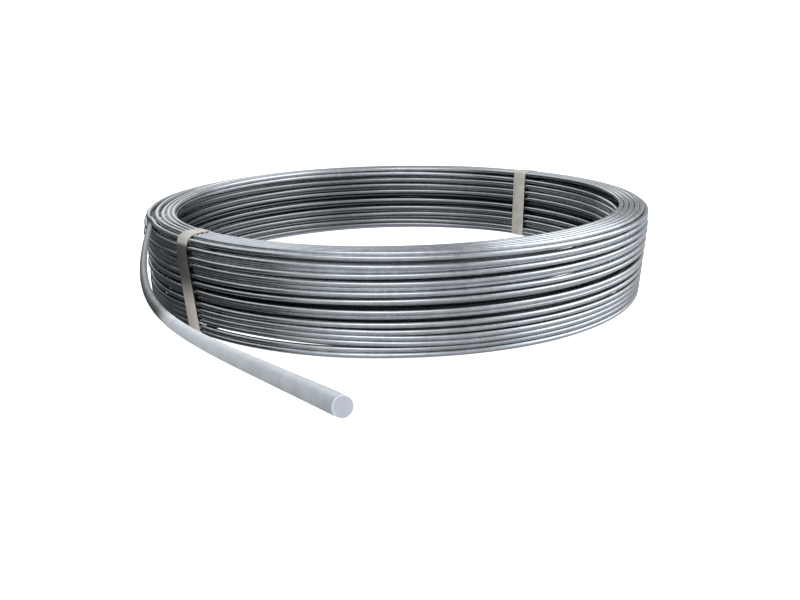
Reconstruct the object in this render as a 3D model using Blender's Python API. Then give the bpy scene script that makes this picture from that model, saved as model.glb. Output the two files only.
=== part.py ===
"""Coil of galvanized round conductor, tied with two flat straps.

The wound turns are one turned solid whose ridges are the turns, and the free end of the same wire
grows out of its outer wall. Metres, +Z up. The coil lies flat on the floor, and the origin is the
bottom centre of the whole part's box.
"""
import math

import bmesh
import bpy
from mathutils import Euler, Vector

MM = 0.001

# Driving dimensions, in millimetres and degrees.
# Azimuths are counted anticlockwise from +X about the coil's axis.
WIRE_DIAMETER = 8.0
OUTER_RADIUS = 437.0               # outside of the highest outer turn
BUNDLE_WIDTH = 52.5                # from the bore to the outside, at the top
STACK_HEIGHT = 144.0               # outer wall, from the lowest turn to the highest
INNER_RISE_HEIGHT = 6.0            # the innermost top turn stands this much above the outermost
BOTTOM_TUCK_DEPTH = 7.0            # the lowest outer turn is wound this much tighter than the highest
VALLEY_DEPTH = 2.8                 # from a turn's crest to the valley beside it

FREE_END_AZIMUTH = 193.0           # where it parts from the other turns
FREE_END_ROWS_BELOW_TOP = 1        # the row that it leaves
FREE_END_DEPTH = 14.0              # its centre line there, in from the outer radius
FREE_END_FORWARD_LENGTH = 1295.0   # from there to the cut end: along the turn's tangent,
FREE_END_INWARD_LENGTH = 109.0     # towards the axis,
FREE_END_LIFT_HEIGHT = 183.0       # and up
FREE_END_START_SLOPE_ANGLE = 4.65
FREE_END_START_HANDLE_LENGTH = 789.0
FREE_END_TIP_TURN_ANGLE = 13.1     # heading at the cut end, turned inward from the tangent
FREE_END_TIP_SLOPE_ANGLE = 10.4
FREE_END_TIP_HANDLE_LENGTH = 305.0

STRAP_WIDTH = 27.0
STRAP_THICKNESS = 1.0
STRAP_AZIMUTHS = {"strap_front_left": 223.5, "strap_back_right": 48.0}     # at the bundle's top
STRAP_LEAN_ANGLES = {"strap_front_left": 2.0, "strap_back_right": 0.5}   # its foot stands further round
CLEARANCE = 0.3                    # between a strap and the turns that it holds

# Worked out from them.
WIRE_RADIUS = WIRE_DIAMETER / 2
INNER_RADIUS = OUTER_RADIUS - BUNDLE_WIDTH
ROWS = round(STACK_HEIGHT / WIRE_DIAMETER)         # turns one above another
COLUMNS = int(BUNDLE_WIDTH / WIRE_DIAMETER)        # turns side by side
FREE_END_ROW = ROWS - 1 - FREE_END_ROWS_BELOW_TOP
# The straps pass under the coil, so the lowest turns stand this far above the floor.
COIL_BASE = STRAP_THICKNESS + CLEARANCE

# How finely the round shapes are cut into flat faces.
RING_SEGMENTS = 48
CORNER_STEPS = 3
STRAP_CORNER_STEPS = 5
FREE_END_SPANS = 30
FREE_END_BEVEL_RESOLUTION = 4      # gives twelve sides
WALL_CREST_ANGLES = (0.0,)         # one edge along each turn
END_CREST_ANGLES = (-22.5, 22.5)   # a flat crest along each turn, for the faces that it rests on
SMOOTH_ANGLE = 30.0
MERGE_DISTANCE = 0.01

GALVANIZED = ((0.56, 0.58, 0.60), 0.38, 0.9)
STRAPPING = ((0.50, 0.47, 0.42), 0.45, 0.3)


def clear_scene():
    for thing in list(bpy.data.objects):
        bpy.data.objects.remove(thing, do_unlink=True)


def make_material(name, finish):
    colour, roughness, metallic = finish
    material = bpy.data.materials.new(name)
    material.use_nodes = True
    shader = material.node_tree.nodes["Principled BSDF"]
    shader.inputs["Base Color"].default_value = (*colour, 1.0)
    shader.inputs["Roughness"].default_value = roughness
    shader.inputs["Metallic"].default_value = metallic
    return material


def add_object(name, mesh, material, parent):
    thing = bpy.data.objects.new(name, mesh)
    bpy.context.collection.objects.link(thing)
    mesh.materials.append(material)
    thing.parent = parent
    return thing


def turn_centre(row, column):
    """Radius and height of one turn's centre; column 0 is the innermost, row 0 the lowest."""
    up = row / (ROWS - 1)
    out = column / (COLUMNS - 1)
    inner = INNER_RADIUS + WIRE_RADIUS
    outer = OUTER_RADIUS - WIRE_RADIUS - BOTTOM_TUCK_DEPTH * (1 - up)
    lowest = COIL_BASE + WIRE_RADIUS
    highest = COIL_BASE + STACK_HEIGHT - WIRE_RADIUS + INNER_RISE_HEIGHT * (1 - out)
    return Vector((inner + (outer - inner) * out, lowest + (highest - lowest) * up))


def side_normal(start, end):
    """Outward angle of a straight side that runs anticlockwise round the bundle."""
    along = end - start
    return math.atan2(along.y, along.x) - math.pi / 2


def on_circle(centre, radius, angle):
    return centre + radius * Vector((math.cos(angle), math.sin(angle)))


def corner_turns():
    """The bundle's four corner turns, anticlockwise from the lowest outer one."""
    top, right = ROWS - 1, COLUMNS - 1
    return [turn_centre(0, right), turn_centre(top, right), turn_centre(top, 0), turn_centre(0, 0)]


def corner_arc(corners, index, radius, steps):
    """Points round one corner turn, from the normal of the side before it to that of the side after."""
    corner = corners[index]
    first = side_normal(corners[index - 1], corner)
    last = side_normal(corner, corners[(index + 1) % 4])
    sweep = (last - first) % (2 * math.pi)
    return [on_circle(corner, radius, first + sweep * step / steps) for step in range(steps + 1)]


def crest(centre, normal, crest_angles):
    """Flat or pointed top of one turn, facing along the normal."""
    points = []
    for degrees in crest_angles:
        angle = math.radians(degrees)
        points.append(on_circle(centre, WIRE_RADIUS / math.cos(angle), normal + angle))
    return points


def side_ridges(start, end, turns, crest_angles):
    """Valleys and crests of the turns between two corner turns."""
    normal = side_normal(start, end)
    pitch = (end - start) / (turns - 1)
    points = []
    for turn in range(turns - 1):
        centre = start + pitch * turn
        if turn > 0:
            points += crest(centre, normal, crest_angles)
        points.append(on_circle(centre + pitch / 2, WIRE_RADIUS - VALLEY_DEPTH, normal))
    return points


def bundle_profile():
    """Section through the wound turns, radius and height, anticlockwise."""
    corners = corner_turns()
    wall, end = (ROWS, WALL_CREST_ANGLES), (COLUMNS, END_CREST_ANGLES)
    points = []
    for index, (turns, crest_angles) in enumerate([wall, end, wall, end]):
        following = corners[(index + 1) % 4]
        points += corner_arc(corners, index, WIRE_RADIUS, CORNER_STEPS)
        points += side_ridges(corners[index], following, turns, crest_angles)
    return points


def finish_mesh(body, name):
    """A mesh from the bmesh, with its faces outward and its round faces shaded smooth."""
    bmesh.ops.remove_doubles(body, verts=body.verts, dist=MERGE_DISTANCE * MM)
    bmesh.ops.recalc_face_normals(body, faces=body.faces)
    mesh = bpy.data.meshes.new(name)
    body.to_mesh(mesh)
    body.free()
    mesh.shade_smooth()
    mesh.set_sharp_from_angle(angle=math.radians(SMOOTH_ANGLE))
    return mesh


def wound_turns_mesh():
    """The profile spun round the coil's axis."""
    body = bmesh.new()
    ring = [body.verts.new((point.x * MM, 0, point.y * MM)) for point in bundle_profile()]
    edges = [body.edges.new((ring[i - 1], ring[i])) for i in range(len(ring))]
    bmesh.ops.spin(
        body, geom=ring + edges, cent=(0, 0, 0), axis=(0, 0, 1), dvec=(0, 0, 0),
        angle=2 * math.pi, steps=RING_SEGMENTS, use_merge=False, use_duplicate=False)
    return finish_mesh(body, "wound_turns")


def free_end_route():
    """Centre line of the free end: a cubic curve, tangent to the turn that it leaves."""
    azimuth = math.radians(FREE_END_AZIMUTH)
    outward = Vector((math.cos(azimuth), math.sin(azimuth), 0))
    tangent = Vector((-outward.y, outward.x, 0))
    up = Vector((0, 0, 1))
    start = outward * (OUTER_RADIUS - FREE_END_DEPTH) + up * turn_centre(FREE_END_ROW, COLUMNS - 1).y
    tip = (start + tangent * FREE_END_FORWARD_LENGTH - outward * FREE_END_INWARD_LENGTH
           + up * FREE_END_LIFT_HEIGHT)
    rise, turn = math.radians(FREE_END_TIP_SLOPE_ANGLE), math.radians(FREE_END_TIP_TURN_ANGLE)
    level = tangent * math.cos(turn) - outward * math.sin(turn)
    tip_heading = level * math.cos(rise) + up * math.sin(rise)
    climb = up * math.tan(math.radians(FREE_END_START_SLOPE_ANGLE))
    start_handle = start + (tangent + climb) * FREE_END_START_HANDLE_LENGTH
    tip_handle = tip - tip_heading * FREE_END_TIP_HANDLE_LENGTH
    route = []
    for span in range(FREE_END_SPANS + 1):
        t = span / FREE_END_SPANS
        near, far = 1 - t, t
        route.append(near ** 3 * start + 3 * near ** 2 * far * start_handle
                     + 3 * near * far ** 2 * tip_handle + far ** 3 * tip)
    return route


def free_end_mesh():
    """The round wire along its route, with flat cut ends."""
    line = bpy.data.curves.new("free_end_line", "CURVE")
    line.dimensions = "3D"
    line.bevel_depth = WIRE_RADIUS * MM
    line.bevel_resolution = FREE_END_BEVEL_RESOLUTION
    line.use_fill_caps = True
    route = free_end_route()
    spline = line.splines.new("POLY")
    spline.points.add(len(route) - 1)
    for point, place in zip(spline.points, route):
        point.co = (*(place * MM), 1)
    holder = bpy.data.objects.new("free_end_line", line)
    body = bmesh.new()
    body.from_mesh(bpy.data.meshes.new_from_object(holder))
    bpy.data.objects.remove(holder, do_unlink=True)
    return finish_mesh(body, "free_end")


def make_conductor(parent):
    """Wound turns and free end in one piece, as one length of wire."""
    finish = make_material("galvanized_wire", GALVANIZED)
    conductor = add_object("conductor", wound_turns_mesh(), finish, parent)
    helper = add_object("free_end_helper", free_end_mesh(), finish, parent)
    helper.hide_render = True
    helper.display_type = "WIRE"
    union = conductor.modifiers.new("free_end", "BOOLEAN")
    union.operation = "UNION"
    union.solver = "EXACT"
    union.object = helper


def strap_outline():
    """Inside line of a strap, stretched round the four corner turns, radius and height."""
    facet_radius = INNER_RADIUS * math.cos(math.pi / RING_SEGMENTS)
    flat_reach = math.sqrt(facet_radius ** 2 - (STRAP_WIDTH / 2) ** 2)
    corners = corner_turns()
    inner_shift = Vector((INNER_RADIUS - flat_reach, 0))
    corners[2] -= inner_shift
    corners[3] -= inner_shift
    points = []
    for index in range(4):
        points += corner_arc(corners, index, WIRE_RADIUS + CLEARANCE, STRAP_CORNER_STEPS)
    return points


def lean(body, angle):
    """Turn a band about the coil's axis, the more the lower, so that it runs askew down the bundle."""
    for vertex in body.verts:
        down = 1 - (vertex.co.z / MM - COIL_BASE) / STACK_HEIGHT
        vertex.co.rotate(Euler((0, 0, math.radians(angle) * down ** 2)))


def make_strap(name, azimuth, parent):
    """A flat band bent round the bundle, its hidden joint finished plainly."""
    body = bmesh.new()
    half = STRAP_WIDTH / 2
    ring = [body.verts.new((point.x * MM, -half * MM, point.y * MM)) for point in strap_outline()]
    edges = [body.edges.new((ring[i - 1], ring[i])) for i in range(len(ring))]
    side = bmesh.ops.extrude_edge_only(body, edges=edges)
    far_verts = [piece for piece in side["geom"] if isinstance(piece, bmesh.types.BMVert)]
    bmesh.ops.translate(body, verts=far_verts, vec=(0, STRAP_WIDTH * MM, 0))
    lean(body, STRAP_LEAN_ANGLES[name])
    band = add_object(name, finish_mesh(body, name), make_material(name + "_steel", STRAPPING), parent)
    band.rotation_euler.z = math.radians(azimuth)
    wall = band.modifiers.new("thickness", "SOLIDIFY")
    wall.thickness = STRAP_THICKNESS * MM
    wall.offset = 1.0
    wall.use_even_offset = True


def stand_on_origin(axis):
    """Move everything so that the bottom centre of the part's box is at the origin."""
    bpy.context.view_layer.update()
    graph = bpy.context.evaluated_depsgraph_get()
    corners = []
    for piece in axis.children:
        if not piece.hide_render:
            shown = piece.evaluated_get(graph)
            corners += [shown.matrix_world @ vertex.co for vertex in shown.data.vertices]
    low = [min(corner[i] for corner in corners) for i in range(3)]
    high = [max(corner[i] for corner in corners) for i in range(3)]
    axis.location = (-(low[0] + high[0]) / 2, -(low[1] + high[1]) / 2, -low[2])


def build():
    clear_scene()
    axis = bpy.data.objects.new("coil_axis", None)
    bpy.context.collection.objects.link(axis)
    make_conductor(axis)
    for name, azimuth in STRAP_AZIMUTHS.items():
        make_strap(name, azimuth, axis)
    stand_on_origin(axis)


build()
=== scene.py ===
import math
import random

import bpy
import numpy as np
from mathutils import Matrix, Vector


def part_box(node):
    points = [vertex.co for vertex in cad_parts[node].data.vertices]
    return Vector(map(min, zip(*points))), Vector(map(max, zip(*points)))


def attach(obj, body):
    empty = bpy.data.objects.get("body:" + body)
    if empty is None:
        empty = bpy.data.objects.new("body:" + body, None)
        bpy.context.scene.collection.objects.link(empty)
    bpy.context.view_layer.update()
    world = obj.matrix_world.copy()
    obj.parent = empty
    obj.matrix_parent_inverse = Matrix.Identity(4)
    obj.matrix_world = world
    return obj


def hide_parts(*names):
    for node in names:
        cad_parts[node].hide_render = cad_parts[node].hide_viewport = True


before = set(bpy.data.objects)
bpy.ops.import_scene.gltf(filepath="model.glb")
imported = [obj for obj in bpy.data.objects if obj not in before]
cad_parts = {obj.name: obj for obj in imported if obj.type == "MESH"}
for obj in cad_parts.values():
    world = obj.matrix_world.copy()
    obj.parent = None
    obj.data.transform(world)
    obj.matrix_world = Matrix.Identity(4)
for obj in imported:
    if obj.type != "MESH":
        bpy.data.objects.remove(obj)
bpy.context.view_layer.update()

MM = 0.001
BODY = "root"

# Sizes of the wire and the coil. Everything here is in millimetres and degrees, and metres only in a mesh.
# Azimuths are counted anticlockwise from +X about the coil's axis.
conductor_low, conductor_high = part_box("conductor")
WIRE_DIAMETER = 8.0
WIRE_RADIUS = WIRE_DIAMETER / 2
OUTER_RADIUS = conductor_high.x / MM
AXIS_Y = conductor_high.y / MM - OUTER_RADIUS
COIL_BASE = conductor_low.z / MM
STACK_HEIGHT = 144.0
BUNDLE_WIDTH = 52.5
INNER_RISE = 6.0
BOTTOM_TUCK = 7.0
CAVITY_TOP = 145.0           # painted shade darkens the turns below this height, inside the bundle
ROWS = 18
FRONT = 270.0
BACK = 90.0
AXIS = Vector((0, AXIS_Y, 0))
UP = Vector((0, 0, 1))

# The straps.
STRAP_WIDTH = 27.0
STRAP_THICKNESS = 1.0
STRAP_GAP = 0.3
STRAP_AZIMUTHS = {"strap_front_left": 223.5, "strap_back_right": 48.0}
STRAP_LEANS = {"strap_front_left": 2.0, "strap_back_right": 0.5}

# The free end's route, within 2 mm of the solid's.
FREE_END_AZIMUTH = 193.0
FREE_END_DEPTH = 14.0
FREE_END_FORWARD = 1295.0
FREE_END_INWARD = 109.0
FREE_END_UP = 184.1
FREE_END_START_SLOPE = 4.65
FREE_END_START_HANDLE = 789.0
FREE_END_TIP_TURN = 13.1
FREE_END_TIP_SLOPE = 10.6
FREE_END_TIP_HANDLE = 305.0
FREE_END_SPANS = 160
FREE_END_GUARDED = 30        # points from the foot on, which the turns keep clear of

# Where the wire lies behind the free end's foot, as (angle wound back, depth, drop below the foot).
FOOT_RUN = [(12.0, 12.6, 4.3), (30.0, 9.5, 6.6)]

# Where the turns lie at the front of the coil, or at its back for the bore's wall, as
# (height, depth in from the outside). The wire runs through them in this order, one place a turn.
OUTER_WALL = [
    (124.8, 9.4), (119.6, 4.2), (107.9, 4.2), (100.2, 9.8), (92.8, 5.0), (87.2, 17.5), (82.2, 4.6),
    (75.0, 20.0), (67.8, 5.0), (59.8, 10.4), (54.8, 19.5), (50.0, 5.6), (44.0, 18.0), (38.5, 6.0),
    (29.0, 6.6), (20.2, 7.4), (13.4, 10.5), (5.4, 9.0)]
CORE = [(13.5, 19.5), (16.0, 31.0), (30.0, 24.0), (36.5, 32.0), (46.0, 31.0), (62.0, 25.5),
        (80.0, 30.0), (98.0, 23.0), (114.0, 29.0), (127.0, 21.0)]
TOP = [(131.1, 4.2), (142.2, 7.2), (147.3, 15.4), (147.5, 23.7), (147.5, 32.0), (147.5, 40.2),
       (147.6, 48.4)]
BORE_WALL = [
    (131.0, 48.4), (119.5, 48.4), (112.6, 40.0), (105.7, 48.4), (99.0, 40.5), (92.6, 48.4),
    (83.0, 38.0), (73.9, 48.4), (65.0, 38.0), (56.4, 48.4), (49.5, 39.5), (42.7, 48.4), (35.5, 40.5),
    (27.8, 48.4), (18.8, 48.4), (8.5, 47.0)]
SAMPLES = 144                # along each turn

# How the wire waves between those places. Pairs say where a change begins and where it is full.
WAVE_REACH = 1.5
WAVE_COUNT = 9
WAVES_A_TURN = (0.55, 4.6)   # the fewest and the most
DEPTH_SEED = 11
HEIGHT_SEED = 23
FOOT_FADE = (0.0, 60.0)      # degrees from the free end's foot
LEVEL_TOP_HEIGHTS = (138.0, 144.0)
LEVEL_TOP_CALM = 0.85        # the share of their height that the waves lose on top
ROUTE_SMOOTHING = 40         # rounds

# Where the turns lie looser than that.
TOP_SPREAD = 18.0            # the inner top turns stand this far into the bore, at the left
TOP_SPREAD_AZIMUTH = 176.0
TOP_SPREAD_TO_STRAP = 36.0   # degrees over which that fades towards the front strap
TOP_SPREAD_TO_BACK = 84.0    # and towards the back
TOP_SPREAD_HEIGHTS = (136.0, 141.0)
TOP_SPREAD_DEPTHS = (15.0, 20.0)
TOP_ROOM_HEIGHTS = (127.2, 139.2)    # above the base, where the outline gives them room
LEFT_BULGE = 2.5             # the upper outer turns stand out, at the left
LEFT_BULGE_AZIMUTH = 188.0
LEFT_BULGE_HALF_WIDTH = 24.0
LEFT_BULGE_HEIGHTS = (57.6, 115.2)   # above the base
RIGHT_TUCK = 5.0             # the lowest turns are wound tighter, at the right
RIGHT_TUCK_AZIMUTH = 350.0
RIGHT_TUCK_HALF_WIDTH = 60.0
BACK_SETTLE = 6.5            # the top turns lie lower at the back
BACK_SETTLE_HALF_WIDTH = 150.0
BACK_SETTLE_HEIGHTS = (131.0, 146.0)
LOOSE_AZIMUTH = 244.0        # the lowest outer turns stand off there
LOOSE_HALF_WIDTH = 33.0
LOOSE_TURN = 17.5            # counted along the wire, from the top of the outer wall
LOOSE_SPAN = 380.0           # degrees along the wire, to either side of that
LOOSE_REACH = 3.5
LOOSE_DROP = 0.5
LOOSE_LIFT = 7.0             # the turns above them ride higher
LIFTED_BELOW = 30.0          # those up to this height
LIFTED_WITHIN = 44.0         # and this depth

# The outline that holds the turns, tight under the straps.
SLACK = 1.6                  # the turns pass the outline by this much between the straps
STRAP_HOLD = 14.0            # degrees from a strap within which the slack fades
TOP_LEVEL_SHARE = 0.75       # the top is level over this share of the bundle's width, from the bore
TOP_OUTER_DROP = 0.3         # and loses this share of the inner rise towards the outside

# How the turns settle beside and on each other.
SETTLE_ROUNDS = 90
SMOOTHED_ROUNDS = 80         # the rounds after these don't smooth
PULL_BACK = 0.04             # the share of its way back to its place that each turn goes in a round
TURN_GAP = 0.05              # between turns that touch
PUSH_SHARE = 0.45            # the share of an overlap that each of two turns gives way in a round
GUARD_PUSH_SHARE = 0.9       # the same beside the free end, which stays where it is
PINNED_SAMPLES = 3           # at the free end's foot
TINY = 1e-6                  # keeps a distance from being nought


# The route of the wire.
def bump(azimuth, centre, half_width):
    """A smooth hump of height 1 round an azimuth."""
    away = (azimuth - centre + 180) % 360 - 180
    return np.where(np.abs(away) < half_width, 0.5 + 0.5 * np.cos(np.pi * away / half_width), 0.0)


def part_way(value, start, full):
    """0 up to start, 1 from full on, and in proportion between them."""
    return np.clip((value - start) / (full - start), 0, 1)


def foot_height():
    return COIL_BASE + WIRE_RADIUS + (STACK_HEIGHT - WIRE_DIAMETER) * (ROWS - 2) / (ROWS - 1)


def winding_knots():
    """Angle wound back from the free end's foot, with depth and height there."""
    foot = foot_height()
    knots = [(0.0, FREE_END_DEPTH, foot)]
    knots += [(angle, depth, foot - drop) for angle, depth, drop in FOOT_RUN]
    turned = FREE_END_AZIMUTH - FRONT + 360
    for height, depth in OUTER_WALL + CORE + TOP:
        knots.append((turned, depth, height))
        turned += 360
    turned += FRONT - BACK - 360
    for height, depth in BORE_WALL:
        knots.append((turned, depth, height))
        turned += 360
    return knots


def wobble(turned, seed):
    """Slow waves along the wire, never the same from one turn to the next."""
    draw = random.Random(seed)
    total = np.zeros_like(turned)
    for _ in range(WAVE_COUNT):
        waves = draw.uniform(*WAVES_A_TURN)
        phase = draw.uniform(0, 2 * math.pi)
        total += WAVE_REACH / waves ** 0.5 * np.sin(np.radians(turned) * waves + phase)
    return total / WAVE_COUNT ** 0.5


def free_end_route():
    """Centre line from the foot to the cut end."""
    azimuth = math.radians(FREE_END_AZIMUTH)
    outward = Vector((math.cos(azimuth), math.sin(azimuth), 0))
    tangent = Vector((-outward.y, outward.x, 0))
    start = AXIS + outward * (OUTER_RADIUS - FREE_END_DEPTH) + UP * foot_height()
    tip = start + tangent * FREE_END_FORWARD - outward * FREE_END_INWARD + UP * FREE_END_UP
    rise, turn = math.radians(FREE_END_TIP_SLOPE), math.radians(FREE_END_TIP_TURN)
    heading = (tangent * math.cos(turn) - outward * math.sin(turn)) * math.cos(rise) + UP * math.sin(rise)
    climb = UP * math.tan(math.radians(FREE_END_START_SLOPE))
    start_handle = start + (tangent + climb) * FREE_END_START_HANDLE
    tip_handle = tip - heading * FREE_END_TIP_HANDLE
    route = []
    for span in range(FREE_END_SPANS + 1):
        far = span / FREE_END_SPANS
        near = 1 - far
        route.append(near ** 3 * start + 3 * near ** 2 * far * start_handle
                     + 3 * near * far ** 2 * tip_handle + far ** 3 * tip)
    return route


def smooth_along(line, rounds):
    for _ in range(rounds):
        line[1:-1] = 0.25 * line[:-2] + 0.5 * line[1:-1] + 0.25 * line[2:]


def free_end_guard(azimuth):
    """Where the free end passes each section, as (radius, height), and the sections that it passes."""
    places = [point - AXIS for point in free_end_route()[:FREE_END_GUARDED]]
    passed = [math.degrees(math.atan2(place.y, place.x)) % 360 for place in places]
    radii = np.interp(azimuth, passed, [place.xy.length for place in places])
    heights = np.interp(azimuth, passed, [place.z for place in places])
    return np.stack([radii, heights], axis=-1), (azimuth >= passed[0]) & (azimuth <= passed[-1])


def top_spread(azimuth):
    """How far the inner top turns stand into the bore."""
    away = (azimuth - TOP_SPREAD_AZIMUTH + 180) % 360 - 180
    towards_strap = bump(azimuth, TOP_SPREAD_AZIMUTH, TOP_SPREAD_TO_STRAP)
    towards_back = bump(azimuth, TOP_SPREAD_AZIMUTH, TOP_SPREAD_TO_BACK)
    return TOP_SPREAD * np.where(away > 0, towards_strap, towards_back)


def keep_inside(line, azimuth, loose):
    """Hold the turns inside the bundle's outline."""
    strapped = sum(bump(azimuth, place, STRAP_HOLD) for place in STRAP_AZIMUTHS.values())
    slack = SLACK * (1 - np.clip(strapped, 0, 1))
    above_base = line[:, 1] - COIL_BASE
    up = np.clip(above_base / STACK_HEIGHT, 0, 1)
    bulge = LEFT_BULGE * bump(azimuth, LEFT_BULGE_AZIMUTH, LEFT_BULGE_HALF_WIDTH)
    tuck = RIGHT_TUCK * bump(azimuth, RIGHT_TUCK_AZIMUTH, RIGHT_TUCK_HALF_WIDTH)
    outside = OUTER_RADIUS - WIRE_RADIUS - BOTTOM_TUCK * (1 - up) + slack + loose * (1 - up)
    outside += bulge * part_way(above_base, *LEFT_BULGE_HEIGHTS)
    outside -= tuck * (1 - up)
    inside = OUTER_RADIUS - BUNDLE_WIDTH + WIRE_RADIUS - slack
    inside -= top_spread(azimuth) * part_way(above_base, *TOP_ROOM_HEIGHTS)
    across = part_way(line[:, 0], inside, outside)
    rise = INNER_RISE * (1 - TOP_OUTER_DROP * part_way(across, TOP_LEVEL_SHARE, 1.0))
    top = COIL_BASE + STACK_HEIGHT - WIRE_RADIUS + rise + slack
    line[:, 0] = np.clip(line[:, 0], inside, outside)
    line[:, 1] = np.clip(line[:, 1], COIL_BASE + WIRE_RADIUS, top)


def contact(apart):
    """The direction from one turn's centre to another's, and how far the two turns overlap."""
    distance = np.linalg.norm(apart, axis=-1, keepdims=True) + TINY
    return apart / distance, np.clip(WIRE_DIAMETER + TURN_GAP - distance, 0, None)


def push_apart(section, guard, guarded):
    """How far each turn moves, in each section, so that no two cut through each other."""
    shift = np.zeros_like(section)
    for other in range(1, len(section)):
        direction, overlap = contact(section[other:] - section[:-other])
        push = direction * overlap * PUSH_SHARE
        shift[other:] += push
        shift[:-other] -= push
    direction, overlap = contact(section - guard)
    overlap *= GUARD_PUSH_SHARE
    overlap[0] = 0               # the first turn runs on into the free end
    return shift + np.where(guarded[:, None], direction * overlap, 0)


def settle(line, azimuth, loose):
    """Lay the turns beside and on each other, section by section."""
    turns = len(line) // SAMPLES
    target = line.copy()
    guard, guarded = free_end_guard(azimuth[:SAMPLES])
    for round_number in range(SETTLE_ROUNDS):
        line += PULL_BACK * (target - line)
        section = line.reshape(turns, SAMPLES, 2)
        section += push_apart(section, guard, guarded)
        keep_inside(line, azimuth, loose)
        if round_number < SMOOTHED_ROUNDS:
            smooth_along(line, 1)
        line[:PINNED_SAMPLES] = target[:PINNED_SAMPLES]


def wind():
    """Azimuth, radius and height along the wound wire, from the free end's foot to the end in the bore."""
    knots = winding_knots()
    turns = int(knots[-1][0] // 360)
    turned = np.arange(turns * SAMPLES) * 360 / SAMPLES
    azimuth = (FREE_END_AZIMUTH - turned) % 360
    knot_turned, knot_depth, knot_height = zip(*knots)
    depth = np.interp(turned, knot_turned, knot_depth)
    height = np.interp(turned, knot_turned, knot_height)
    fade = part_way(turned, *FOOT_FADE)
    depth += wobble(turned, DEPTH_SEED) * fade
    level_top = part_way(height, *LEVEL_TOP_HEIGHTS)
    height += wobble(turned, HEIGHT_SEED) * fade * (1 - LEVEL_TOP_CALM * level_top)
    # The lowest outer turns stand off at the front left, and those above them lie higher.
    standing_off = bump(azimuth, LOOSE_AZIMUTH, LOOSE_HALF_WIDTH)
    lowest = np.abs(turned - (FREE_END_AZIMUTH - FRONT + 360 * LOOSE_TURN)) < LOOSE_SPAN
    depth = np.where(lowest, depth - LOOSE_REACH * standing_off, depth)
    height = np.where(lowest, height - LOOSE_DROP * standing_off, height)
    above = (~lowest) & (height < LIFTED_BELOW) & (depth < LIFTED_WITHIN)
    height = np.where(above, height + LOOSE_LIFT * standing_off, height)
    loose = np.where(lowest, (LOOSE_REACH + LOOSE_DROP) * standing_off, 0.0)
    # The inner top turns stand into the bore at the left, and all the top turns lie lower at the back.
    inner_top = part_way(height, *TOP_SPREAD_HEIGHTS) * part_way(depth, *TOP_SPREAD_DEPTHS)
    depth += top_spread(azimuth) * inner_top
    at_back = bump(azimuth, BACK, BACK_SETTLE_HALF_WIDTH)
    height -= BACK_SETTLE * part_way(height, *BACK_SETTLE_HEIGHTS) * at_back
    line = np.stack([OUTER_RADIUS - depth, height], axis=-1)
    smooth_along(line, ROUTE_SMOOTHING)
    line[0] = (OUTER_RADIUS - FREE_END_DEPTH, knots[0][2])
    settle(line, azimuth, loose)
    return azimuth, line


def at_azimuth(azimuth, radius, height):
    angle = math.radians(azimuth)
    return AXIS + Vector((radius * math.cos(angle), radius * math.sin(angle), height))


# Camera, light and floor. The camera's place is counted from the coil's axis, and its turns are in radians.
CAMERA_PLACE = (4.4, -1607.3, 433.9 + COIL_BASE)
CAMERA_PITCH = 0.289
CAMERA_ROLL = -0.014
CAMERA_LENS = 41.0
SENSOR_WIDTH = 36.0
CLIP_END = 100               # metres


def look():
    """The camera of the photo."""
    camera_data = bpy.data.cameras.new("camera")
    camera_data.sensor_width = SENSOR_WIDTH
    camera_data.lens = CAMERA_LENS
    camera_data.clip_end = CLIP_END
    camera = bpy.data.objects.new("camera", camera_data)
    bpy.context.scene.collection.objects.link(camera)
    camera.location = (AXIS + Vector(CAMERA_PLACE)) * MM
    turn = Matrix.Rotation(math.pi / 2 - CAMERA_PITCH, 3, "X") @ Matrix.Rotation(CAMERA_ROLL, 3, "Z")
    camera.rotation_euler = turn.to_euler()
    bpy.context.scene.camera = camera


def add_node(tree, kind, **settings):
    node = tree.nodes.new(kind)
    for name, value in settings.items():
        setattr(node, name, value)
    return node


def feed(tree, value, socket):
    """Link an output to a socket, or set the socket to plain numbers."""
    if isinstance(value, (int, float, tuple)):
        socket.default_value = value
    else:
        tree.links.new(value, socket)


def math_node(tree, operation, first, second):
    node = add_node(tree, "ShaderNodeMath", operation=operation)
    feed(tree, first, node.inputs[0])
    feed(tree, second, node.inputs[1])
    return node.outputs[0]


def ramp_node(tree, value, low, high, out_low=0.0, out_high=1.0):
    """A smooth step from out_low to out_high as the value goes from low to high."""
    node = add_node(tree, "ShaderNodeMapRange", interpolation_type="SMOOTHSTEP")
    for socket, number in zip(node.inputs, (value, low, high, out_low, out_high)):
        feed(tree, number, socket)
    return node.outputs[0]


def coordinates(tree, place):
    """The x, y and z of a place or a direction."""
    node = add_node(tree, "ShaderNodeSeparateXYZ")
    tree.links.new(place, node.inputs[0])
    return node.outputs


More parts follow.
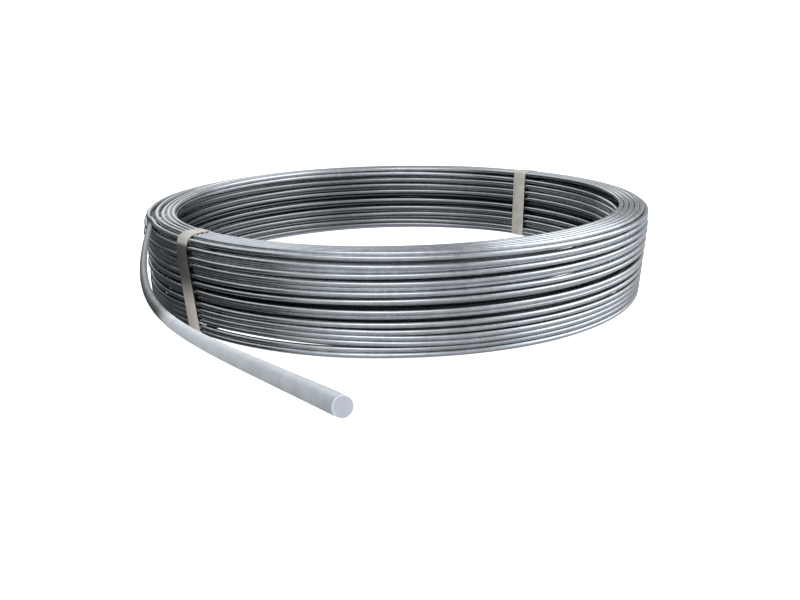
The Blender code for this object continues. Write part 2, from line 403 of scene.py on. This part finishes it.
# Brightness round the studio, as (azimuth, level), for each height of the walls.
BRIGHTEST = 2.0
FLOOR_LEVELS = [(-180, 0.03), (-146, 0.03), (-130, 0.42), (-112, 0.53), (-60, 0.47), (-16, 0.46),
                (20, 0.52), (74, 0.50), (92, 0.34), (104, 0.12), (140, 0.05), (180, 0.03)]
WALL_LEVELS = [(-180, 0.12), (-146, 0.09), (-130, 0.52), (-60, 0.52), (-12, 1.60), (26, 1.70),
               (44, 0.60), (58, 0.36), (90, 0.32), (97, 1.05), (108, 1.05), (118, 0.40), (132, 0.10),
               (164, 0.08), (180, 0.12)]
HIGH_LEVELS = [(-180, 0.88), (-165, 0.78), (-150, 0.58), (-142, 0.55), (-128, 0.95), (-114, 2.00),
               (-84, 1.85), (-70, 0.95), (-56, 0.48), (-44, 0.32), (-30, 0.65), (-14, 1.95),
               (20, 1.85), (36, 1.80), (50, 1.05), (64, 0.45), (90, 0.42), (104, 0.95), (120, 0.80),
               (150, 0.80), (165, 0.88), (180, 0.88)]
STEEP_LEVEL = 0.28
CEILING_LEVEL = 0.36
# Each list takes over from the one below it between two heights, from -1 straight down to 1 straight up.
STUDIO_LEVELS = [(FLOOR_LEVELS, (-0.80, -0.60)), (WALL_LEVELS, (0.02, 0.12)),
                 (HIGH_LEVELS, (0.44, 0.52))]
CEILING_HEIGHTS = (0.89, 0.93)
FILL = 2.0                   # soft light added for the matt surfaces from low down, as a share of the rest
FILL_HEIGHTS = (0.95, 0.10)
LIGHT_TINT = (0.95, 0.985, 1.02, 1)
WHITE = (1, 1, 1, 1)
BACKGROUND_LEVEL = 1.05
FLOOR_SPAN = 30              # metres
FLOOR_GLOW = 0.97
FLOOR_PAPER = (0.8, 0.8, 0.8, 1)


def read_levels(tree, value, levels, reach):
    """A level read from a list of (place, level), where value runs from -reach to reach as the places do."""
    ramp = add_node(tree, "ShaderNodeValToRGB")
    elements = ramp.color_ramp.elements
    while len(elements) < len(levels):
        elements.new(0.5)
    for element, (place, level) in zip(elements, levels):
        element.position = (place + reach) / (2 * reach)
        element.color = (level / BRIGHTEST,) * 3 + (1,)
    share = math_node(tree, "DIVIDE", math_node(tree, "ADD", value, reach), 2 * reach)
    tree.links.new(share, ramp.inputs[0])
    return math_node(tree, "MULTIPLY", ramp.outputs[0], BRIGHTEST)


def around(tree, azimuth, levels):
    """Brightness read from a list of (azimuth, level)."""
    return read_levels(tree, math_node(tree, "MULTIPLY", azimuth, 180 / math.pi), levels, 180.0)


def blend(tree, low, high, share):
    return math_node(tree, "ADD", math_node(tree, "MULTIPLY", low, math_node(tree, "SUBTRACT", 1.0, share)),
                     math_node(tree, "MULTIPLY", high, share))


def studio():
    """Soft walls of light, bright in front and at the right, dark at the left, under a plain ceiling."""
    scene = bpy.context.scene
    scene.view_settings.view_transform = "Standard"
    scene.view_settings.look = "None"
    world = bpy.data.worlds.new("studio")
    scene.world = world
    world.use_nodes = True
    tree = world.node_tree
    tree.nodes.clear()
    x, y, height = coordinates(tree, add_node(tree, "ShaderNodeTexCoord").outputs["Generated"])
    azimuth = math_node(tree, "ARCTAN2", y, x)
    level = STEEP_LEVEL
    for levels, heights in STUDIO_LEVELS:
        level = blend(tree, level, around(tree, azimuth, levels), ramp_node(tree, height, *heights))
    level = blend(tree, level, CEILING_LEVEL, ramp_node(tree, height, *CEILING_HEIGHTS))

    path = add_node(tree, "ShaderNodeLightPath")
    low_down = ramp_node(tree, height, *FILL_HEIGHTS, 0.0, FILL)
    fill = math_node(tree, "ADD", math_node(tree, "MULTIPLY", path.outputs["Is Diffuse Ray"], low_down), 1.0)
    light = add_node(tree, "ShaderNodeBackground")
    light.inputs["Color"].default_value = LIGHT_TINT
    tree.links.new(math_node(tree, "MULTIPLY", level, fill), light.inputs["Strength"])
    paper = add_node(tree, "ShaderNodeBackground")
    paper.inputs["Color"].default_value = WHITE
    paper.inputs["Strength"].default_value = BACKGROUND_LEVEL
    mix = add_node(tree, "ShaderNodeMixShader")
    output = add_node(tree, "ShaderNodeOutputWorld")
    tree.links.new(path.outputs["Is Camera Ray"], mix.inputs[0])
    tree.links.new(light.outputs[0], mix.inputs[1])
    tree.links.new(paper.outputs[0], mix.inputs[2])
    tree.links.new(mix.outputs[0], output.inputs["Surface"])


def lay_floor():
    """White paper, as bright as the background."""
    bpy.ops.object.select_all(action="DESELECT")
    bpy.ops.mesh.primitive_plane_add(size=FLOOR_SPAN, location=(0, 0, 0))
    floor = bpy.context.object
    floor.name = "floor"
    floor.visible_glossy = False
    floor.visible_diffuse = False
    paper = bpy.data.materials.new("paper")
    paper.use_nodes = True
    tree = paper.node_tree
    tree.nodes.clear()
    output = add_node(tree, "ShaderNodeOutputMaterial")
    glow = add_node(tree, "ShaderNodeEmission")
    glow.inputs["Color"].default_value = WHITE
    glow.inputs["Strength"].default_value = FLOOR_GLOW
    matt = add_node(tree, "ShaderNodeBsdfDiffuse")
    matt.inputs["Color"].default_value = FLOOR_PAPER
    both = add_node(tree, "ShaderNodeAddShader")
    tree.links.new(glow.outputs[0], both.inputs[0])
    tree.links.new(matt.outputs[0], both.inputs[1])
    tree.links.new(both.outputs[0], output.inputs["Surface"])
    floor.data.materials.append(paper)


# Finishes. Pairs are millimetres, and say where a change begins and where it is full.
CAVITY_DEPTHS = (5.0, 11.0)          # below the bundle's skin, where painted shade darkens the turns
CAVITY_SHADE = (0.34, 0.356, 0.374, 1)
BORE_CAVITY_SHADE = (0.17, 0.178, 0.187, 1)
BORE_PAINTED_LIGHT = [(-400, 0.36), (-200, 0.75), (150, 0.90), (350, 1.75)]     # painted shade at the left and painted light at the right, along X, left to right
PAINTED_LIGHT_Y = (-530.0, -605.0)            # painted light: the free end turns pale and less metallic there
GREY_Y = (-690.0, -880.0)            # and greyer again there
STRAP_PAINTED_SHADE = (0.12, 0.11, 0.10, 1)
PAINTED_SHADE_HEIGHTS = (40.0, 92.0)         # painted shade turns a strap a darker brown there
UNSHADED_BEND_HEIGHTS = (141.0, 134.0)  # but not over the bend at its top
PAINTED_SHADE_RADII = (405.0, 415.0)         # and only outside the coil

# The free end's darker and lighter clouds, where it is bright, pale with painted light, and grey.
BRIGHT_CLOUDS = ((0.38, 0.40, 0.41), (0.52, 0.545, 0.56))
PAINTED_LIGHT_CLOUDS = ((0.80, 0.84, 0.86), (0.90, 0.935, 0.95))
GREY_CLOUDS = ((0.58, 0.61, 0.635), (0.67, 0.70, 0.72))

# About how many of each there are to a metre.
CRYSTALS = 150
CLOUDS = 32
FREE_END_CLOUDS = 150
STREAKS = 60
GRAINS = 900
CLOUD_SHARE = 0.75           # of the zinc's pattern, and the rest is crystals


def new_material(name):
    """A material with its node tree, its shader and the place that its textures read."""
    material = bpy.data.materials.new(name)
    material.use_nodes = True
    tree = material.node_tree
    place = add_node(tree, "ShaderNodeTexCoord").outputs["Object"]
    return material, tree, tree.nodes["Principled BSDF"], place


def set_surface(tree, shader, colour, roughness, metallic):
    feed(tree, colour, shader.inputs["Base Color"])
    feed(tree, roughness, shader.inputs["Roughness"])
    feed(tree, metallic, shader.inputs["Metallic"])


def noise(tree, place, scale, detail):
    node = add_node(tree, "ShaderNodeTexNoise")
    node.inputs["Scale"].default_value = scale
    node.inputs["Detail"].default_value = detail
    tree.links.new(place, node.inputs["Vector"])
    return node.outputs["Fac"]


def two_colours(tree, value, low, dark, high, light):
    node = add_node(tree, "ShaderNodeValToRGB")
    for element, position, colour in zip(node.color_ramp.elements, (low, high), (dark, light)):
        element.position = position
        element.color = (*colour, 1)
    tree.links.new(value, node.inputs[0])
    return node.outputs[0]


def mix_colours(tree, share, first, second):
    node = add_node(tree, "ShaderNodeMix", data_type="RGBA")
    for socket, value in ((0, share), (6, first), (7, second)):
        feed(tree, value, node.inputs[socket])
    return node.outputs[2]


def between(tree, value, places):
    """0 at the first of two places in millimetres, and 1 at the second."""
    low, high = places
    return ramp_node(tree, value, low * MM, high * MM)


def from_axis(tree, parts):
    """Distance from the coil's axis, in metres."""
    x, y = parts[0], math_node(tree, "SUBTRACT", parts[1], AXIS_Y * MM)
    squares = math_node(tree, "ADD", math_node(tree, "MULTIPLY", x, x), math_node(tree, "MULTIPLY", y, y))
    return math_node(tree, "SQRT", squares, 0)


def within_bundle(tree, place):
    """How deep a point lies below the bundle's skin, in metres: the smallest of its four distances."""
    parts = coordinates(tree, place)
    radius = from_axis(tree, parts)
    z = parts[2]
    from_outside = math_node(tree, "SUBTRACT", OUTER_RADIUS * MM, radius)
    from_bore = math_node(tree, "SUBTRACT", radius, (OUTER_RADIUS - BUNDLE_WIDTH) * MM)
    from_top = math_node(tree, "SUBTRACT", (COIL_BASE + CAVITY_TOP) * MM, z)
    from_floor = math_node(tree, "SUBTRACT", z, COIL_BASE * MM)
    across = math_node(tree, "MINIMUM", from_outside, from_bore)
    return math_node(tree, "MINIMUM", across, math_node(tree, "MINIMUM", from_top, from_floor))


def tone_along_x(tree, place, colour, painted_light_tones):
    """A colour scaled by a tone of painted light and shade read from a list of (place, tone)."""
    scaled = add_node(tree, "ShaderNodeVectorMath", operation="SCALE")
    x = math_node(tree, "DIVIDE", coordinates(tree, place)[0], MM)
    tree.links.new(colour, scaled.inputs[0])
    tree.links.new(read_levels(tree, x, painted_light_tones, OUTER_RADIUS), scaled.inputs["Scale"])
    return scaled.outputs[0]


def zinc_finish(name, dark, light, roughness, shade_colour, painted_light_tones=None):
    """Zinc on steel: crystals a few millimetres across, cloudy, and darkened by painted shade between the
    turns.
    """
    material, tree, shader, place = new_material(name)
    crystals = add_node(tree, "ShaderNodeTexVoronoi", feature="SMOOTH_F1")
    crystals.inputs["Scale"].default_value = CRYSTALS
    crystals.inputs["Smoothness"].default_value = 0.35
    tree.links.new(place, crystals.inputs["Vector"])
    shade = add_node(tree, "ShaderNodeSeparateColor")
    tree.links.new(crystals.outputs["Color"], shade.inputs[0])
    patches = blend(tree, shade.outputs[0], noise(tree, place, CLOUDS, 3), CLOUD_SHARE)
    plain_colour = two_colours(tree, patches, 0.30, dark, 0.68, light)
    if painted_light_tones:
        plain_colour = tone_along_x(tree, place, plain_colour, painted_light_tones)
    # Painted shade: the colour darkens with depth below the bundle's skin, standing in for the shade between
    # the turns.
    painted_shade_share = between(tree, within_bundle(tree, place), CAVITY_DEPTHS)
    set_surface(tree, shader, mix_colours(tree, painted_shade_share, plain_colour, shade_colour),
                ramp_node(tree, patches, 0.30, 0.70, *roughness), 1.0)
    return material


def galvanized():
    return zinc_finish("galvanized_zinc", (0.62, 0.645, 0.665), (0.735, 0.765, 0.79), (0.17, 0.24), CAVITY_SHADE)


def painted_shade_galvanized():
    """The turns round the bore: zinc with painted shade, darker all over, darkest of all at the left, and
    painted light towards the right.
    """
    return zinc_finish("galvanized_zinc_painted_shade", (0.49, 0.51, 0.53), (0.57, 0.595, 0.62), (0.20, 0.24),
                       BORE_CAVITY_SHADE, BORE_PAINTED_LIGHT)


def dull_galvanized():
    """The free end: bright metal where it leaves the coil, then pale and dull with painted light, and greyer
    towards the tip, with soft cloudy patches.
    """
    material, tree, shader, place = new_material("galvanized_zinc_dull_painted_light")
    y = coordinates(tree, place)[1]
    clouds = noise(tree, place, FREE_END_CLOUDS, 3)
    bright, painted_pale, grey = [two_colours(tree, clouds, 0.36, dark, 0.66, light)
                          for dark, light in (BRIGHT_CLOUDS, PAINTED_LIGHT_CLOUDS, GREY_CLOUDS)]
    # Painted light: the free end's middle is paler and less metallic, and greyer again towards the tip.
    painted_light_share = between(tree, y, PAINTED_LIGHT_Y)
    pale_to_grey = mix_colours(tree, between(tree, y, GREY_Y), painted_pale, grey)
    set_surface(tree, shader, mix_colours(tree, painted_light_share, bright, pale_to_grey),
                ramp_node(tree, clouds, 0.3, 0.7, 0.30, 0.38),
                ramp_node(tree, painted_light_share, 0, 1, 1.0, 0.12))
    return material


def sheared():
    """The cut end's face: plain steel with a fine grain."""
    material, tree, shader, place = new_material("sheared_steel")
    grain = noise(tree, place, GRAINS, 4)
    colour = two_colours(tree, grain, 0.35, (0.375, 0.385, 0.425), 0.65, (0.425, 0.435, 0.475))
    set_surface(tree, shader, colour, ramp_node(tree, grain, 0.3, 0.7, 0.42, 0.52), 0.25)
    return material


def strapping():
    """Matt warm steel strap with faint rolling streaks, and a painted shade of darker brown over the upper
    half of the outer wall.
    """
    material, tree, shader, place = new_material("strap_steel")
    parts = coordinates(tree, place)
    streaks = noise(tree, place, STREAKS, 5)
    plain_colour = two_colours(tree, streaks, 0.35, (0.62, 0.57, 0.51), 0.65, (0.72, 0.66, 0.59))
    # Painted shade: a darker brown over the upper half of the outer wall, outside the coil, but not over the
    # bend.
    above = between(tree, parts[2], PAINTED_SHADE_HEIGHTS)
    below_bend = between(tree, parts[2], UNSHADED_BEND_HEIGHTS)
    outside = between(tree, from_axis(tree, parts), PAINTED_SHADE_RADII)
    share = math_node(tree, "MULTIPLY", outside, math_node(tree, "MULTIPLY", above, below_bend))
    set_surface(tree, shader, mix_colours(tree, share, plain_colour, STRAP_PAINTED_SHADE),
                ramp_node(tree, streaks, 0.3, 0.7, 0.40, 0.52), 0.35)
    return material


# Making and finishing meshes.
CUT_EDGE = [(0.22, 0.97), (0.13, 0.94)]          # the broken edge's steps, as (forward, share of the width)
MERGE_DISTANCE = 0.00001                         # metres
WIRE_SHARP_ANGLE = math.radians(40)
FACES_FORWARD = 0.9                              # the cosine above which a face belongs to the cut


def take_alone(piece):
    bpy.ops.object.select_all(action="DESELECT")
    piece.select_set(True)
    bpy.context.view_layer.objects.active = piece


def weld():
    """Join the points of the mesh in edit mode that lie together, and face its walls outwards."""
    bpy.ops.mesh.select_all(action="SELECT")
    bpy.ops.mesh.remove_doubles(threshold=MERGE_DISTANCE)
    bpy.ops.mesh.normals_make_consistent(inside=False)


def wire_piece(name, route, roundness, material):
    """A length of the wire, round, with flat ends. A higher roundness gives it more sides."""
    line = bpy.data.curves.new(name, "CURVE")
    line.dimensions = "3D"
    line.bevel_depth = WIRE_RADIUS * MM
    line.bevel_resolution = roundness
    line.use_fill_caps = True
    spline = line.splines.new("POLY")
    spline.points.add(len(route) - 1)
    for point, place in zip(spline.points, route):
        point.co = (*(place * MM), 1)
    piece = bpy.data.objects.new(name, line)
    bpy.context.scene.collection.objects.link(piece)
    take_alone(piece)
    bpy.ops.object.convert(target="MESH")
    bpy.ops.object.mode_set(mode="EDIT")
    weld()
    bpy.ops.object.mode_set(mode="OBJECT")
    bpy.ops.object.shade_smooth_by_angle(angle=WIRE_SHARP_ANGLE)
    piece.data.materials.clear()
    piece.data.materials.append(material)
    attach(piece, BODY)
    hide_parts("conductor")
    return piece


def finish_cut_end(piece, tip, heading):
    """Give the cut end's face a broken edge, in two steps, and the sheared finish."""
    take_alone(piece)
    bpy.ops.object.mode_set(mode="EDIT")
    bpy.ops.mesh.select_mode(type="FACE")
    bpy.ops.mesh.select_all(action="DESELECT")
    bpy.ops.object.mode_set(mode="OBJECT")
    for face in piece.data.polygons:
        near_tip = (face.center - tip * MM).length < WIRE_RADIUS * MM
        face.select = face.normal.dot(heading) > FACES_FORWARD and near_tip
    bpy.ops.object.mode_set(mode="EDIT")
    end = tip * MM
    for forward, narrower in CUT_EDGE:
        bpy.ops.mesh.extrude_region_move(TRANSFORM_OT_translate={"value": heading * forward * MM})
        end = end + heading * forward * MM
        bpy.ops.transform.resize(value=(narrower,) * 3, center_override=end)
    piece.data.materials.append(sheared())
    piece.active_material_index = 1
    bpy.ops.object.material_slot_assign()
    bpy.ops.mesh.select_mode(type="VERT")
    bpy.ops.object.mode_set(mode="OBJECT")
    bpy.ops.object.shade_smooth_by_angle(angle=WIRE_SHARP_ANGLE)


def wind_conductor(azimuth, line):
    zinc = galvanized()
    route = [at_azimuth(place, radius, level) for place, (radius, level) in zip(azimuth, line)]
    outer_end = (len(OUTER_WALL) + 1) * SAMPLES
    core_end = outer_end + len(CORE) * SAMPLES
    top_end = core_end + len(TOP) * SAMPLES
    wire_piece("wire_outer_turns", route[:outer_end + 1], 7, zinc)
    wire_piece("wire_core_turns", route[outer_end:core_end + 1], 4, zinc)
    wire_piece("wire_top_turns", route[core_end:top_end + 1], 7, zinc)
    wire_piece("wire_bore_turns", route[top_end:], 6, painted_shade_galvanized())
    tail = free_end_route()
    heading = (tail[-1] - tail[-2]).normalized()
    tail[-1] = tail[-1] - heading * sum(forward for forward, _ in CUT_EDGE)
    finish_cut_end(wire_piece("wire_free_end", tail, 14, dull_galvanized()), tail[-1], heading)


# The straps.
NEAR_STRAP = 2.6             # degrees to either side, whose turns a strap is pulled round
ARC_STEPS = 28               # round each turn
STRAP_EDGE = 0.3             # the bevel along its edges
STRAP_BEVEL_ANGLE = math.radians(60)
STRAP_SHARP_ANGLE = math.radians(35)


def tight_outline(centres):
    """The line of a band pulled tight round the turns of one section, anticlockwise, as (radius, height)."""
    reach = WIRE_RADIUS + STRAP_GAP
    spots = []
    for radius, height in centres:
        for step in range(ARC_STEPS):
            angle = 2 * math.pi * step / ARC_STEPS
            spots.append((radius + reach * math.cos(angle), height + reach * math.sin(angle)))
    spots.sort()

    def half(run):
        hull = []
        for spot in run:
            while len(hull) > 1:
                (ax, ay), (bx, by) = hull[-2:]
                if (bx - ax) * (spot[1] - ay) - (by - ay) * (spot[0] - ax) > 0:
                    break
                hull.pop()
            hull.append(spot)
        return hull[:-1]

    return half(spots) + half(spots[::-1])


def extrude_strip(name, places, along):
    """A strip of the strap's width, extruded along a closed line of places."""
    bpy.ops.object.select_all(action="DESELECT")
    bpy.ops.mesh.primitive_plane_add(size=1, location=(0, 0, 0))
    band = bpy.context.object
    band.name = name
    bpy.ops.object.mode_set(mode="EDIT")
    bpy.ops.mesh.delete(type="ONLY_FACE")
    bpy.ops.object.mode_set(mode="OBJECT")
    ends = [places[0] - along * STRAP_WIDTH / 2 * MM, places[0] + along * STRAP_WIDTH / 2 * MM]
    for vertex in band.data.vertices:
        vertex.co = ends[0] if vertex.co.x < 0 else ends[1]
    bpy.ops.object.mode_set(mode="EDIT")
    bpy.ops.mesh.select_all(action="SELECT")
    bpy.ops.mesh.remove_doubles(threshold=MERGE_DISTANCE)
    for before, after in zip(places, places[1:] + places[:1]):
        bpy.ops.mesh.extrude_region_move(TRANSFORM_OT_translate={"value": after - before})
    weld()
    bpy.ops.object.mode_set(mode="OBJECT")
    return band


def thicken(band):
    """Give the strip its thickness, outwards, and soft edges."""
    wall = band.modifiers.new("thickness", "SOLIDIFY")
    wall.thickness = STRAP_THICKNESS * MM
    wall.offset = 1
    wall.use_even_offset = True
    edge = band.modifiers.new("edge", "BEVEL")
    edge.width = STRAP_EDGE * MM
    edge.segments = 2
    edge.limit_method = "ANGLE"
    edge.angle_limit = STRAP_BEVEL_ANGLE
    for modifier in ("thickness", "edge"):
        bpy.ops.object.modifier_apply(modifier=modifier)


def lean(band, degrees):
    """Turn the band's foot round the coil, while its top stays."""
    for vertex in band.data.vertices:
        down = 1 - (vertex.co.z / MM - COIL_BASE) / STACK_HEIGHT
        turn = Matrix.Rotation(math.radians(degrees) * down ** 2, 3, "Z")
        vertex.co = AXIS * MM + turn @ (vertex.co - AXIS * MM)


def make_strap(name, azimuth, turn_azimuth, line, material):
    """A flat band pulled tight round the bundle."""
    nearby = np.abs((turn_azimuth - azimuth + 180) % 360 - 180) < NEAR_STRAP
    outline = tight_outline([(radius, height) for radius, height in line[nearby]])
    outward = at_azimuth(azimuth, 1, 0) - AXIS
    places = [(AXIS + outward * radius + UP * height) * MM for radius, height in outline]
    band = extrude_strip(name + "_band", places, Vector((-outward.y, outward.x, 0)))
    thicken(band)
    lean(band, STRAP_LEANS[name])
    bpy.ops.object.shade_smooth_by_angle(angle=STRAP_SHARP_ANGLE)
    band.data.materials.append(material)
    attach(band, BODY)
    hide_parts(name)


look()
studio()
lay_floor()
turn_azimuth, turn_line = wind()
wind_conductor(turn_azimuth, turn_line)
steel = strapping()
for strap_name, strap_azimuth in STRAP_AZIMUTHS.items():
    make_strap(strap_name, strap_azimuth, turn_azimuth, turn_line, steel)
